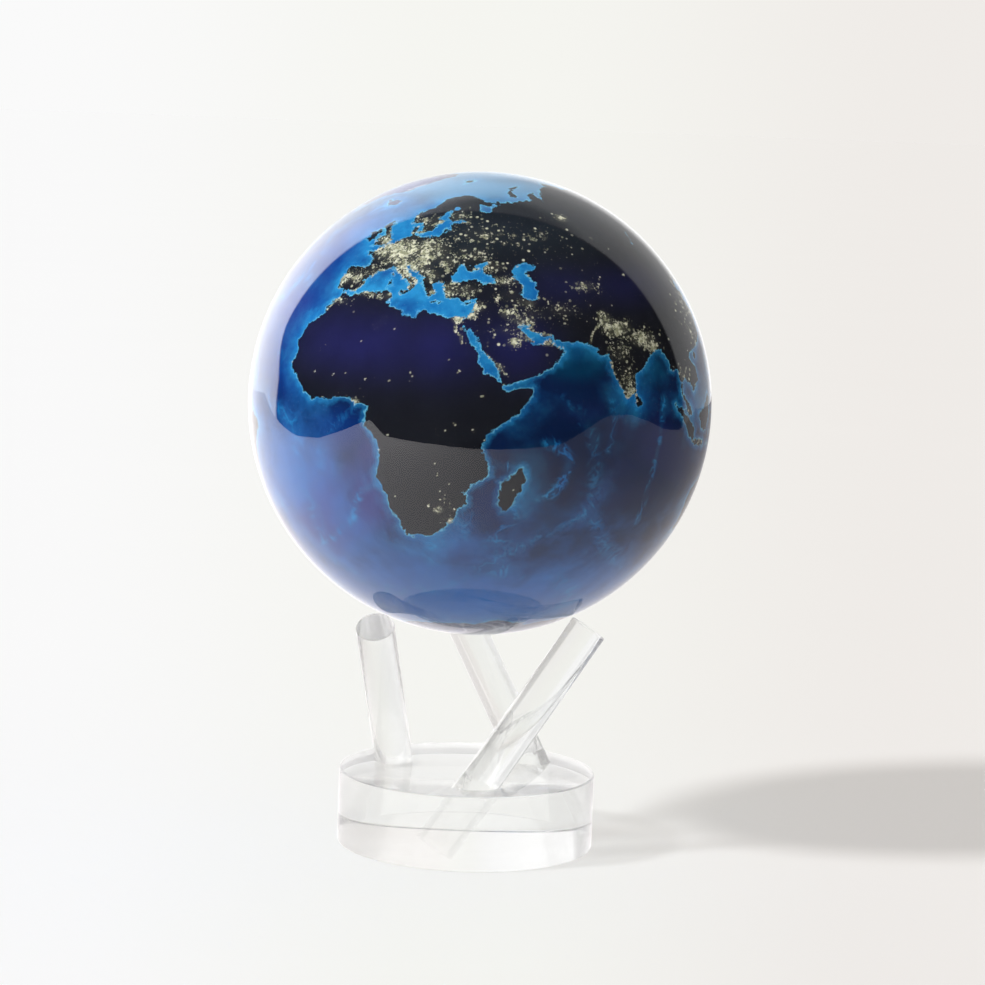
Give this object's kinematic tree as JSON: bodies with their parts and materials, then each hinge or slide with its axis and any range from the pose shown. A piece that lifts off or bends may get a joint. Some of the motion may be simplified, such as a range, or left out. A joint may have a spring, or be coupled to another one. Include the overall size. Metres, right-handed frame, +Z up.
{
  "type": "desktop globe",
  "caption": "Clear ball with a printed earth-at-night globe floating inside it, resting on slanted clear rods that are set in a thick clear disc.",
  "frame": {"origin": "centre of the base disc's underside", "axes": "+Z up through the centre of the ball, the globe's north pole up; -Y is the front"},
  "size_m": [0.1142, 0.1142, 0.1678],
  "materials": {
    "clear_acrylic": "polished, clear",
    "map_print": "dark printed map of the earth at night, semi-gloss",
    "white_plastic": "moulded",
    "black_plastic": "moulded",
    "solar_cell": "dark blue, glossy",
    "circuit_board": "green solder mask",
    "copper_wire": "enamelled copper wire",
    "brass": "turned",
    "steel": "plain",
    "nickel_magnet": "nickel-plated magnet",
    "ruby": "polished synthetic ruby",
    "cast_iron": "as cast",
    "red_lead": "insulation",
    "black_lead": "insulation"
  },
  "bodies": {
    "stand": {"base_disc": "clear_acrylic", "support_rod_1": "clear_acrylic", "support_rod_2": "clear_acrylic", "support_rod_3": "clear_acrylic"},
    "outer_ball": {"outer_shell_upper": "clear_acrylic", "outer_shell_lower": "clear_acrylic", "fill_plug": "clear_acrylic"},
    "inner_globe": {"map_shell_north": "map_print", "map_shell_south": "map_print", "joint_ring": "white_plastic", "deck_plate": "white_plastic", "coil_bobbin_1": "white_plastic", "coil_bobbin_2": "white_plastic", "deck_screw_1": "steel", "deck_screw_2": "steel", "deck_screw_3": "steel", "carrier_screw_1": "steel", "carrier_screw_2": "steel", "carrier_screw_3": "steel", "board_screw_1": "steel", "board_screw_2": "steel", "bridge_screw_1": "steel", "bridge_screw_2": "steel", "cell_carrier": "black_plastic", "control_chip": "black_plastic", "storage_capacitor": "black_plastic", "carrier_post_1": "brass", "carrier_post_2": "brass", "carrier_post_3": "brass", "bearing_bridge": "brass", "solar_cell_1": "solar_cell", "solar_cell_2": "solar_cell", "solar_cell_3": "solar_cell", "solar_cell_4": "solar_cell", "solar_cell_5": "solar_cell", "solar_cell_6": "solar_cell", "circuit_board": "circuit_board", "drive_coil_1": "copper_wire", "drive_coil_2": "copper_wire", "coil_lead_1": "copper_wire", "coil_lead_2": "copper_wire", "lower_jewel_bearing": "ruby", "upper_jewel_bearing": "ruby", "ballast_weight": "cast_iron", "cell_lead_1": "black_lead", "cell_lead_2": "red_lead"},
    "magnet_rotor": {"pivot_shaft": "steel", "magnet_cradle": "brass", "compass_magnet": "nickel_magnet"}
  },
  "joints": [
    {"name": "ball_lift", "type": "slide", "parent": "stand", "child": "outer_ball", "axis": [0, 0, 1], "range_m": [0, 0.06]},
    {"name": "globe_spin", "type": "hinge", "parent": "outer_ball", "child": "inner_globe", "pos_m": [0, 0, 0.1106], "axis": [0, 0, 1], "continuous": true},
    {"name": "compass_turn", "type": "hinge", "parent": "inner_globe", "child": "magnet_rotor", "pos_m": [0, 0, 0.1106], "axis": [0, 0, 1], "continuous": true}
  ],
  "couplings": [
    {"joint": "compass_turn", "follows": "globe_spin", "ratio": -1}
  ]
}
